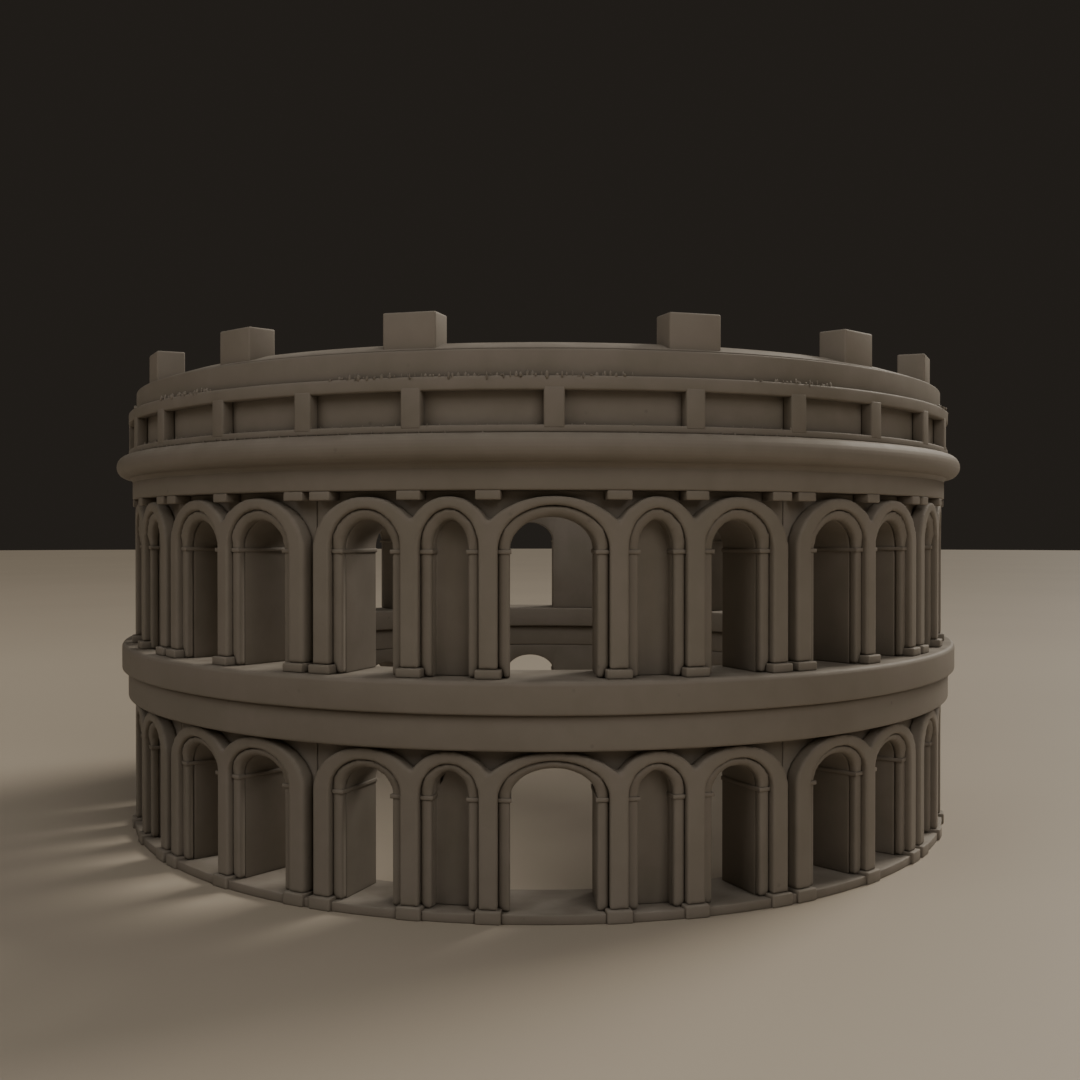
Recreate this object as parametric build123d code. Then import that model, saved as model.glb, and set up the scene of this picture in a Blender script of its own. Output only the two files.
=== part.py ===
"""Desk model of an oval two-storey amphitheatre, cast in sections and assembled.

Millimetres. Origin at the centre of the underside, +Z up, the end gate faces -Y.
Every ring is offset from one datum, the outer face of the entablature. The datum is an
oval struck from four centres: tight end arcs and wide side arcs, which meet where they
face 45 degrees. Places on it are distances along the datum, counted from the middle of
the -Y end towards +X.
"""
from build123d import *
import math
import os

os.makedirs("parts", exist_ok=True)

# Datum oval, the outer face of the entablature
half_width = 60.0
half_length = 68.7

# Offsets from the datum, positive outwards
inner_face = -9.0
ledge_inner_face = -10.2
spandrel_face = -2.1
niche_depth = 1.0
order_face = -1.1
pier_face = -0.35
foot_face = 0.1
bracket_face = -0.05
slab_face = -0.2
lower_fascia_face = 0.6
floor_face = 1.45
attic_face = 0.5
panel_face = -0.95
parapet_face = -0.55
crest_face = -4.1
merlon_face = -1.8

# Heights of the courses, from the ground up
slab_height = 1.05
lower_storey_height = 17.25
lower_fascia_height = 3.9
floor_height = 3.6
upper_storey_height = 19.9
entablature_height = 2.3
cove_height = 0.6
cornice_height = 3.1
attic_base_height = 0.8
panel_height = 3.65
attic_rail_height = 1.5
parapet_height = 2.9
coping_rise = 1.15
merlon_height = 3.2

# Arches: springing above the storey's floor, then the rise of each curve
lower_springing = 12.1
lower_opening_rise = 2.7
lower_order_rise = 3.6
lower_arch_rise = 4.9
lower_gate_extra = 0.45
upper_springing = 13.6
upper_opening_rise = 3.2
upper_order_rise = 4.4
upper_arch_rise = 5.7
upper_gate_extra = 0.35

# Spacing of the piers along the datum
gate_half_pitch = 7.0
niche_pitch = 8.7
end_arch_pitch = 10.8
flank_arch_pitch = 12.4
quarter_bays = 3
end_slot_pitch = 3.65
flank_slot_pitch = 3.9
side_slot_pitch = 3.6
wall_joint_gap = 0.1

# Piers, orders and mouldings
pier_width = 2.15
order_width = 1.3
foot_width = 2.8
lower_foot_height = 1.4
upper_foot_height = 1.0
bracket_width = 2.7
bracket_height = 1.0
impost_height = 0.45
impost_lip = 0.14
niche_arch_spread = 1.14
cove_flare = 0.9
nose_projection = 2.15
floor_edge_radius = 0.5

# Attic posts and merlons
post_width = 2.2
post_set_back = 0.5
merlon_width = 6.1
merlon_depth = 3.6
first_merlon_shift = 0.5

# Locating dowels and pegs
dowel_radius = 1.0
dowel_offset = -5.6
dowel_grip = 2.0
slab_grip = 0.7
entablature_grip = 1.1
peg_radius = 0.8
peg_length = 0.8
peg_offset = -4.5
fit_clearance = 0.05
end_clearance = 0.1

reach = 30.0

# Levels that follow from the course heights
slab_top = slab_height
lower_storey_top = slab_top + lower_storey_height
lower_fascia_top = lower_storey_top + lower_fascia_height
floor_top = lower_fascia_top + floor_height
upper_storey_top = floor_top + upper_storey_height
entablature_top = upper_storey_top + entablature_height
cove_top = entablature_top + cove_height
cornice_top = cove_top + cornice_height
attic_base_top = cornice_top + attic_base_height
panel_top = attic_base_top + panel_height
attic_top = panel_top + attic_rail_height
parapet_top = attic_top + parapet_height
crest_top = parapet_top + coping_rise

# Four centres of the datum oval
centre_distance = (half_length - half_width) / (2 - math.sqrt(2))
end_radius = half_length - centre_distance
side_radius = half_width + centre_distance
end_arc_length = end_radius * math.pi / 4
quadrant_length = (end_radius + side_radius) * math.pi / 4
arc_centres = [
    (0, -centre_distance, end_radius, -135),
    (-centre_distance, 0, side_radius, -45),
    (0, centre_distance, end_radius, 45),
    (centre_distance, 0, side_radius, 135),
]


def facing_angle(place):
    """Direction the datum faces at a place, in degrees from -Y towards +X."""
    if place < 0:
        return -facing_angle(-place)
    if place <= end_arc_length:
        return math.degrees(place / end_radius)
    if place <= quadrant_length:
        return 45 + math.degrees((place - end_arc_length) / side_radius)
    return 180 - facing_angle(2 * quadrant_length - place)


def outward(place):
    """Unit vector square to the datum."""
    turn = math.radians(facing_angle(place))
    return Vector(math.sin(turn), -math.cos(turn), 0)


def oval_point(place, offset):
    """Point at a place on the datum, moved outwards by the offset."""
    angle = facing_angle(place)
    if 45 < abs(angle) < 135:
        centre = Vector(math.copysign(centre_distance, -angle), 0, 0)
        radius = side_radius
    else:
        centre = Vector(0, math.copysign(centre_distance, abs(angle) - 90), 0)
        radius = end_radius
    return centre + outward(place) * (radius + offset)


def oval(offset):
    """Filled oval at an offset from the datum."""
    return make_face(
        [CenterArc((x, y), radius + offset, start, 90) for x, y, radius, start in arc_centres]
    )


def ring(outer, inner, bottom, top):
    """Oval ring between two offsets and two levels."""
    return Pos(0, 0, bottom) * extrude(oval(outer) - oval(inner), top - bottom)


def turned_ring(profile):
    """Ring turned about the four centres, its section drawn as offset and level."""
    quarters = []
    for x, y, radius, start in arc_centres:
        turn = math.radians(start)
        frame = Plane(
            origin=(x + radius * math.cos(turn), y + radius * math.sin(turn), 0),
            x_dir=(math.cos(turn), math.sin(turn), 0),
            z_dir=(math.sin(turn), -math.cos(turn), 0),
        )
        axis = Axis((x, y, 0), (0, 0, 1))
        quarters.append(revolve(frame * profile, axis=axis, revolution_arc=90))
    return quarters[0] + quarters[1:]


def sector(start, end, bottom, top):
    """Prism between the two vertical planes that stand square to the datum."""
    corners = [
        oval_point(start, -reach),
        oval_point(start, reach),
        oval_point(end, reach),
        oval_point(end, -reach),
    ]
    outline = make_face(Polyline(*[(corner.X, corner.Y) for corner in corners], close=True))
    return Pos(0, 0, bottom) * extrude(outline, top - bottom)


def block_at(place, width, bottom, top, outer, inner):
    """Block square to the datum, with faces that follow two ring offsets."""
    facing = outward(place)
    centre = oval_point(place, 0)
    frame = Plane(origin=(centre.X, centre.Y, 0), x_dir=(-facing.Y, facing.X, 0), z_dir=facing)
    outline = Pos(0, (bottom + top) / 2) * Rectangle(width, top - bottom)
    return extrude(frame * outline, reach / 2, both=True) & ring(outer, inner, bottom, top)


class Storey:
    """Levels of one arcade: floor, pier feet, springing and the rises of its arches."""

    def __init__(self, name, floor, top, foot_bottom, foot_top, springing, rises, gate_extra):
        self.name = name
        self.floor = floor
        self.top = top
        self.foot_bottom = foot_bottom
        self.foot_top = foot_top
        self.springing = floor + springing
        self.opening_rise, self.order_rise, self.arch_rise = rises
        self.gate_extra = gate_extra


lower = Storey(
    "lower",
    slab_top,
    lower_storey_top,
    0.0,
    lower_foot_height,
    lower_springing,
    (lower_opening_rise, lower_order_rise, lower_arch_rise),
    lower_gate_extra,
)
upper = Storey(
    "upper",
    floor_top,
    upper_storey_top,
    floor_top,
    floor_top + upper_foot_height,
    upper_springing,
    (upper_opening_rise, upper_order_rise, upper_arch_rise),
    upper_gate_extra,
)


def arch(half_span, bottom, springing, rise):
    """Upright arch outline with a half-oval head."""
    jambs = Pos(0, (bottom + springing) / 2) * Rectangle(2 * half_span, springing - bottom)
    return jambs + Pos(0, springing) * Ellipse(half_span, rise)


class Bay:
    """One bay between two neighbouring piers: an open arch, a taller gate or a niche."""

    def __init__(self, start, end, kind, first, last):
        left = oval_point(start, 0)
        right = oval_point(end, 0)
        along = (right - left).normalized()
        middle = (left + right) * 0.5
        self.start = start
        self.end = end
        self.kind = kind
        self.first = first
        self.last = last
        self.half_spacing = (right - left).length / 2
        self.pier_edge = self.half_spacing - pier_width / 2
        self.opening = self.pier_edge - order_width
        self.frame = Plane(
            origin=(middle.X, middle.Y, 0), x_dir=along, z_dir=(along.Y, -along.X, 0)
        )

    def prism(self, outline):
        """Outline drawn on the bay's face, pushed through the wall."""
        return extrude(self.frame * outline, reach / 2, both=True)

    def opening_outline(self, storey, bottom):
        """Clear opening of the arch."""
        rise = storey.opening_rise + (storey.gate_extra if self.kind == "gate" else 0)
        return arch(self.opening, bottom, storey.springing, rise)

    def order_outline(self, storey, bottom):
        """Outer edge of the stepped inner order."""
        rise = storey.order_rise + (storey.gate_extra if self.kind == "gate" else 0)
        return arch(self.pier_edge, bottom, storey.springing, rise)

    def frame_piece(self, storey):
        """Piers and outer arch band of this bay."""
        outer_span = self.half_spacing + pier_width / 2
        arch_span = self.half_spacing * niche_arch_spread if self.kind == "niche" else outer_span
        height = storey.springing - storey.foot_top
        shape = arch(arch_span, storey.foot_top, storey.springing, storey.arch_rise)
        shape += Pos(0, storey.foot_top + height / 2) * Rectangle(2 * outer_span, height)
        shape -= self.order_outline(storey, storey.foot_top - 1)
        start = self.start - (pier_width if self.first else 0)
        end = self.end + (pier_width if self.last else 0)
        band = ring(pier_face, spandrel_face, storey.foot_top, storey.top)
        return self.prism(shape) & sector(start, end, storey.foot_top, storey.top) & band

    def order_piece(self, storey, feet):
        """Stepped inner jamb and arch band, cut round the pier feet."""
        shape = self.order_outline(storey, storey.floor)
        shape -= self.opening_outline(storey, storey.floor - 1)
        band = ring(order_face, spandrel_face, storey.floor, storey.top)
        return (self.prism(shape) & band) - feet

    def cutter(self, storey):
        """What this bay takes out of its wall casting."""
        prism = self.prism(self.opening_outline(storey, storey.floor - 1))
        if self.kind != "niche":
            return prism
        return prism & ring(spandrel_face + 1, spandrel_face - niche_depth, storey.floor - 1, storey.top)

    def imposts(self, storey):
        """Pair of mouldings at the springing: a face band and a strip along the reveal."""
        back = spandrel_face - niche_depth if self.kind == "niche" else inner_face
        bottom = storey.springing - impost_height
        level = bottom + impost_height / 2
        pieces = []
        for side in (-1, 1):
            strip_middle = side * (self.opening - impost_lip / 2)
            strip = self.prism(Pos(strip_middle, level) * Rectangle(impost_lip, impost_height))
            strip &= ring(order_face, back, bottom, storey.springing)
            face_width = self.pier_edge - self.opening + impost_lip
            face_middle = side * (self.pier_edge - face_width / 2)
            face = self.prism(Pos(face_middle, level) * Rectangle(face_width, impost_height))
            face &= ring(order_face + impost_lip, order_face, bottom, storey.springing)
            pieces.append(strip + face)
        return pieces


class Section:
    """A run of bays cast as one wall section, repeated by mirroring."""

    def __init__(self, name, piers, kinds, wall_start, wall_end, mirrors):
        final = len(kinds) - 1
        self.name = name
        self.piers = piers
        self.bays = [
            Bay(piers[step], piers[step + 1], kind, step == 0, step == final)
            for step, kind in enumerate(kinds)
        ]
        self.wall_start = wall_start + wall_joint_gap / 2
        self.wall_end = wall_end - wall_joint_gap / 2
        self.mirrors = mirrors

    def copies(self, piece):
        """The piece and its mirror images round the oval."""
        found = [piece]
        for plane in self.mirrors:
            found += [mirror(item, about=plane) for item in found]
        return found

    def dowel_spots(self):
        """Two dowels stand behind the end piers."""
        return [oval_point(pier, dowel_offset) for pier in (self.piers[0], self.piers[-1])]


end_niche_pier = gate_half_pitch + niche_pitch
end_last_pier = end_niche_pier + end_arch_pitch
flank_first_pier = end_last_pier + end_slot_pitch
flank_middle_pier = flank_first_pier + flank_arch_pitch
flank_last_pier = flank_middle_pier + flank_arch_pitch
quarter_first_pier = flank_last_pier + flank_slot_pitch
side_first_pier = quadrant_length - gate_half_pitch
quarter_last_pier = side_first_pier - side_slot_pitch
quarter_pitch = (quarter_last_pier - quarter_first_pier) / quarter_bays

end_joint = (end_last_pier + flank_first_pier) / 2
flank_joint = (flank_last_pier + quarter_first_pier) / 2
side_joint = (quarter_last_pier + side_first_pier) / 2

end_half = [gate_half_pitch, end_niche_pier, end_last_pier]
sections = [
    Section(
        "end",
        [-pier for pier in reversed(end_half)] + end_half,
        ["arch", "niche", "gate", "niche", "arch"],
        -end_joint,
        end_joint,
        [Plane.XZ],
    ),
    Section(
        "flank",
        [flank_first_pier, flank_middle_pier, flank_last_pier],
        ["arch", "arch"],
        end_joint,
        flank_joint,
        [Plane.YZ, Plane.XZ],
    ),
    Section(
        "quarter",
        [quarter_first_pier + step * quarter_pitch for step in range(quarter_bays + 1)],
        ["arch"] * quarter_bays,
        flank_joint,
        side_joint,
        [Plane.YZ, Plane.XZ],
    ),
    Section(
        "gate",
        [side_first_pier, 2 * quadrant_length - side_first_pier],
        ["gate"],
        side_joint,
        2 * quadrant_length - side_joint,
        [Plane.YZ],
    ),
]


def pin(spot, bottom, top, radius):
    """Upright round pin."""
    height = top - bottom
    return Pos(spot.X, spot.Y, bottom + height / 2) * Cylinder(radius, height)


def dowels(level, grip_below, grip_above, slack=0.0, extra=0.0):
    """All dowels of one joint; with slack and extra length, their sockets."""
    found = []
    for section in sections:
        for spot in section.dowel_spots():
            bottom = level - grip_below - extra
            top = level + grip_above + extra
            found += section.copies(pin(spot, bottom, top, dowel_radius + slack))
    return found


def sockets(level, grip_below, grip_above):
    """Holes that take the dowels of one joint."""
    return dowels(level, grip_below, grip_above, fit_clearance, end_clearance)


def save(name, pieces):
    """Write one node as a STEP file of separate solids."""
    solids = []
    for piece in pieces:
        solids += list(piece.solids())
    export_step(Compound(children=solids, label=name), f"parts/{name}.step")
    print(name, len(solids), round(sum(solid.volume for solid in solids), 1))


def wall_casting(section, storey):
    """Wall of one section with its openings, niches and dowel sockets."""
    wall = ring(spandrel_face, inner_face, storey.floor, storey.top)
    wall &= sector(section.wall_start, section.wall_end, storey.floor, storey.top)
    radius = dowel_radius + fit_clearance
    depth = dowel_grip + end_clearance
    for spot in section.dowel_spots():
        wall -= pin(spot, storey.floor, storey.floor + depth, radius)
        wall -= pin(spot, storey.top - depth, storey.top, radius)
    for bay in section.bays:
        wall -= bay.cutter(storey)
    return wall


def build_storey(storey):
    """Write the walls, arcades, feet, orders and imposts of one storey; return the feet."""
    all_feet = []
    orders = []
    niche_orders = []
    imposts = []
    for section in sections:
        feet = [
            block_at(pier, foot_width, storey.foot_bottom, storey.foot_top, foot_face, spandrel_face)
            for pier in section.piers
        ]
        arcade = Part()
        for bay in section.bays:
            arcade += bay.frame_piece(storey)
            order = section.copies(bay.order_piece(storey, feet))
            if bay.kind == "niche":
                niche_orders += order
            else:
                orders += order
            for impost in bay.imposts(storey):
                imposts += section.copies(impost)
        for foot in feet:
            all_feet += section.copies(foot)
        save(f"{storey.name}_{section.name}_walls", section.copies(wall_casting(section, storey)))
        save(f"{storey.name}_{section.name}_arcades", section.copies(arcade))
    save(f"{storey.name}_pier_feet", all_feet)
    save(f"{storey.name}_inner_orders", orders)
    save(f"{storey.name}_niche_orders", niche_orders)
    save(f"{storey.name}_imposts", imposts)
    return all_feet


lower_feet = build_storey(lower)
build_storey(upper)

# Base slab, notched round the pier feet
base_slab = ring(slab_face, ledge_inner_face, 0, slab_top) - lower_feet
base_slab -= sockets(slab_top, slab_grip, dowel_grip)
save("base_slab", [base_slab])
save("slab_dowels", dowels(slab_top, slab_grip, dowel_grip))

# String course and rounded floor between the storeys
lower_fascia = ring(lower_fascia_face, inner_face, lower_storey_top, lower_fascia_top)
lower_fascia -= sockets(lower_storey_top, dowel_grip, dowel_grip)
save("lower_fascia", [lower_fascia])
save("fascia_dowels", dowels(lower_storey_top, dowel_grip, dowel_grip))

floor_disc = Pos(0, 0, lower_fascia_top) * extrude(oval(floor_face), floor_height)
floor_disc = fillet(floor_disc.edges().group_by(Axis.Z)[-1], floor_edge_radius)
floor_bore = Pos(0, 0, lower_fascia_top) * extrude(oval(ledge_inner_face), floor_height)
upper_floor = floor_disc - floor_bore - sockets(floor_top, dowel_grip, dowel_grip)
save("upper_floor", [upper_floor])
save("floor_dowels", dowels(floor_top, dowel_grip, dowel_grip))

# Brackets and entablature
bracket_bottom = upper_storey_top - bracket_height
brackets = []
for section in sections:
    for pier in section.piers:
        brackets += section.copies(
            block_at(pier, bracket_width, bracket_bottom, upper_storey_top, bracket_face, spandrel_face)
        )
save("brackets", brackets)

entablature = ring(0, inner_face, upper_storey_top, entablature_top)
entablature -= sockets(upper_storey_top, dowel_grip, entablature_grip)
save("entablature", [entablature])
save("entablature_dowels", dowels(upper_storey_top, dowel_grip, entablature_grip))

# Hollow-faced cove under the half-round cornice
cove_outline = Polyline(
    (0, entablature_top),
    (inner_face, entablature_top),
    (inner_face, cove_top),
    (cove_flare, cove_top),
)
cove_curve = ThreePointArc(
    (cove_flare, cove_top),
    (0.4 * cove_flare, cove_top - 0.3 * cove_height),
    (0, entablature_top),
)
save("cove", [turned_ring(make_face(cove_outline + cove_curve))])

nose_start = nose_projection - cornice_height / 2
cornice_outline = Polyline(
    (nose_start, cove_top),
    (inner_face, cove_top),
    (inner_face, cornice_top),
    (nose_start, cornice_top),
)
cornice_curve = ThreePointArc(
    (nose_start, cornice_top),
    (nose_projection, cove_top + cornice_height / 2),
    (nose_start, cove_top),
)
save("cornice", [turned_ring(make_face(cornice_outline + cornice_curve))])


def all_round(quadrant_places, axis_places, piece_at):
    """Pieces at quadrant places mirrored four ways, then those on the two axes."""
    found = []
    for place in quadrant_places:
        piece = piece_at(place)
        sides = [piece, mirror(piece, about=Plane.YZ)]
        found += sides + [mirror(side, about=Plane.XZ) for side in sides]
    return found + [piece_at(place) for place in axis_places]


# Attic with sunk panels between posts
save("attic_wall", [ring(panel_face, inner_face, cornice_top, attic_top)])
save("attic_base_rail", [ring(attic_face, panel_face, cornice_top, attic_base_top)])
save("attic_top_rail", [ring(attic_face, panel_face, panel_top, attic_top)])


def attic_post(place):
    """Upright between two sunk panels."""
    return block_at(place, post_width, attic_base_top, panel_top, attic_face, panel_face)


niche_post = end_niche_pier - post_set_back
flank_post = flank_middle_pier - post_set_back
quarter_post = quarter_first_pier + quarter_pitch
outer_post = (quarter_post + quadrant_length) / 2
post_places = [niche_post, end_joint, flank_post, flank_joint, quarter_post, outer_post]
side_places = [quadrant_length, -quadrant_length]
save("attic_posts", all_round(post_places, [0, 2 * quadrant_length] + side_places, attic_post))

# Parapet, weathered coping and block merlons
save("parapet", [ring(parapet_face, inner_face, attic_top, parapet_top)])

coping_outline = Polyline(
    (parapet_face, parapet_top),
    (inner_face, parapet_top),
    (inner_face, crest_top),
    (crest_face, crest_top),
    close=True,
)
coping = turned_ring(make_face(coping_outline))


def merlon_peg(place, radius, length):
    """Peg under a merlon, or its socket."""
    return pin(oval_point(place, peg_offset), crest_top - length, crest_top, radius)


def merlon(place):
    """Square block that sits on the slope, with its peg."""
    facing = outward(place)
    spot = oval_point(place, merlon_face - merlon_depth / 2)
    footing = Plane(
        origin=(spot.X, spot.Y, parapet_top), x_dir=(-facing.Y, facing.X, 0), z_dir=(0, 0, 1)
    )
    block = extrude(footing * Rectangle(merlon_width, merlon_depth), coping_rise + merlon_height)
    return (block - coping) + merlon_peg(place, peg_radius, peg_length)


def merlon_socket(place):
    """Hole in the coping for a merlon's peg."""
    return merlon_peg(place, peg_radius + fit_clearance, peg_length + end_clearance)


merlon_places = [end_niche_pier + first_merlon_shift, flank_post, quarter_post]
save("merlons", all_round(merlon_places, side_places, merlon))
save("coping", [coping - all_round(merlon_places, side_places, merlon_socket)])
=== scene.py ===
"""Visual model of an oval two-storey amphitheatre: castings, resin finishes and a studio."""
import logging
import math
from dataclasses import dataclass
from enum import Enum

import bmesh
import bpy
from mathutils import Matrix, Vector
from mathutils.bvhtree import BVHTree


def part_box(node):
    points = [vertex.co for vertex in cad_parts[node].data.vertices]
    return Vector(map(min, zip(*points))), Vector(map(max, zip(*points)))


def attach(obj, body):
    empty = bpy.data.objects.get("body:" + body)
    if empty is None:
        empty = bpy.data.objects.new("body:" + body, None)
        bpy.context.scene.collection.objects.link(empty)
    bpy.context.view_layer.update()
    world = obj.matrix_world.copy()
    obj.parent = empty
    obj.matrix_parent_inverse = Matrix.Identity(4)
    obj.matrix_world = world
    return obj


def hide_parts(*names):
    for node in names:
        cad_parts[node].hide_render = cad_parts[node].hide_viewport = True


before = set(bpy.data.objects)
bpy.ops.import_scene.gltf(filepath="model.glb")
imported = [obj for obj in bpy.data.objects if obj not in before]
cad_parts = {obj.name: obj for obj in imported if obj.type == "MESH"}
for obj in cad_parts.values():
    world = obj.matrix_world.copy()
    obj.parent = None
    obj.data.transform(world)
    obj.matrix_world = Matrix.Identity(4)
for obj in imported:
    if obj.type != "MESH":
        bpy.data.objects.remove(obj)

LOG = logging.getLogger("amphitheatre")
MM = 0.001
ROOT = "root"
MERGE_DISTANCE = 2e-6
WELD_DISTANCE = 1e-7
Colour = tuple[float, float, float]
Place = tuple[float, float, float]
Point2 = tuple[float, float]
NamedInputs = dict[str, str]


class Section(Enum):
    """Shape of the section that a course carries round the oval."""

    SQUARE = "square"
    ROUNDED_TOP = "rounded top"
    HOLLOW_FLARE = "hollow flare"
    HALF_ROUND = "half round"
    WEATHERED = "weathered"


# ---- node building


@dataclass
class Tree:
    """Small helper that fills one node tree, for shaders or geometry."""

    tree: bpy.types.NodeTree

    @classmethod
    def group(cls, name: str, kind: str) -> "Tree":
        """Start a new, empty node group of the given kind."""
        return cls(bpy.data.node_groups.new(name, kind))

    def socket(self, name: str, kind: str, default: object = None, output: bool = False) -> str:
        """Add one named input or output to the group.

        Args:
            name: Label of the socket.
            kind: Kind of value, such as Float.
            default: Starting value of an input.
            output: True for an output.

        Returns:
            The socket's identifier.
        """
        side = "OUTPUT" if output else "INPUT"
        item = self.tree.interface.new_socket(
            name=name, in_out=side, socket_type=f"NodeSocket{kind}"
        )
        if default is not None:
            item.default_value = default
        return item.identifier

    def node(
        self, kind: str, settings: dict[str, object] | None = None, **inputs: object
    ) -> bpy.types.Node:
        """Add a node, set its properties and fill or link its inputs.

        Args:
            kind: Node class.
            settings: Properties of the node.
            **inputs: Value or output socket for each input; underscores stand for spaces, and
                i0, i1 and so on name an input by its position.

        Returns:
            The new node.
        """
        made = self.tree.nodes.new(kind)
        for name, value in (settings or {}).items():
            setattr(made, name, value)
        for name, value in inputs.items():
            by_place = name[0] == "i" and name[1:].isdigit()
            socket = made.inputs[int(name[1:]) if by_place else name.replace("_", " ")]
            if isinstance(value, bpy.types.NodeSocket):
                self.tree.links.new(value, socket)
            else:
                socket.default_value = value
        return made

    def maths(
        self, operation: str, first: object, second: object = 0.0
    ) -> bpy.types.NodeSocket:
        """Add a Math node and return its output."""
        settings = {"operation": operation}
        return self.node("ShaderNodeMath", settings, i0=first, i1=second).outputs[0]

    def ramp(
        self, value: object, low: float, high: float, start: float = 0.0, end: float = 1.0
    ) -> bpy.types.NodeSocket:
        """Map a value to a new span, clamped at both ends.

        Args:
            value: Value or socket to map.
            low: Value that becomes start.
            high: Value that becomes end.
            start: Result at low.
            end: Result at high.

        Returns:
            The mapped value's socket.
        """
        made = self.node(
            "ShaderNodeMapRange", None, i0=value, i1=low, i2=high, i3=start, i4=end
        )
        return made.outputs[0]

    def mix(
        self, factor: object, first: object, second: object, blend: str = "MIX"
    ) -> bpy.types.NodeSocket:
        """Mix two colours.

        Args:
            factor: Share of the second colour.
            first: Colour at a factor of 0.
            second: Colour at a factor of 1.
            blend: Way of mixing.

        Returns:
            The mixed colour's socket.
        """
        settings = {"data_type": "RGBA", "blend_type": blend}
        return self.node("ShaderNodeMix", settings, i0=factor, i6=first, i7=second).outputs[2]

    def noise(self, vector: object, scale: object, detail: float, **more: object) -> bpy.types.Node:
        """Add a noise texture and return its node."""
        given = {"Vector": vector, "Scale": scale, "Detail": detail, **more}
        return self.node("ShaderNodeTexNoise", None, **given)

    def shifted(self, geometry: object, vector: object, scale: object) -> bpy.types.NodeSocket:
        """Move points by a scaled vector field.

        Args:
            geometry: Geometry to move.
            vector: Field of shifts.
            scale: Factor on every shift.

        Returns:
            The moved geometry's socket.
        """
        shift = self.node("ShaderNodeVectorMath", {"operation": "SCALE"}, i0=vector, Scale=scale)
        moved = self.node(
            "GeometryNodeSetPosition", None, Geometry=geometry, Offset=shift.outputs[0]
        )
        return moved.outputs[0]

    def finished(self, geometry: object, finish: object) -> None:
        """Realize the instances, set the material and close the group on it.

        Args:
            geometry: Geometry to finish.
            finish: Material to set.
        """
        solid = self.node("GeometryNodeRealizeInstances", None, Geometry=geometry)
        final = self.node(
            "GeometryNodeSetMaterial", None, Geometry=solid.outputs[0], Material=finish
        )
        self.node("NodeGroupOutput", None, Mesh=final.outputs[0])


# ---- finishes


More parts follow.
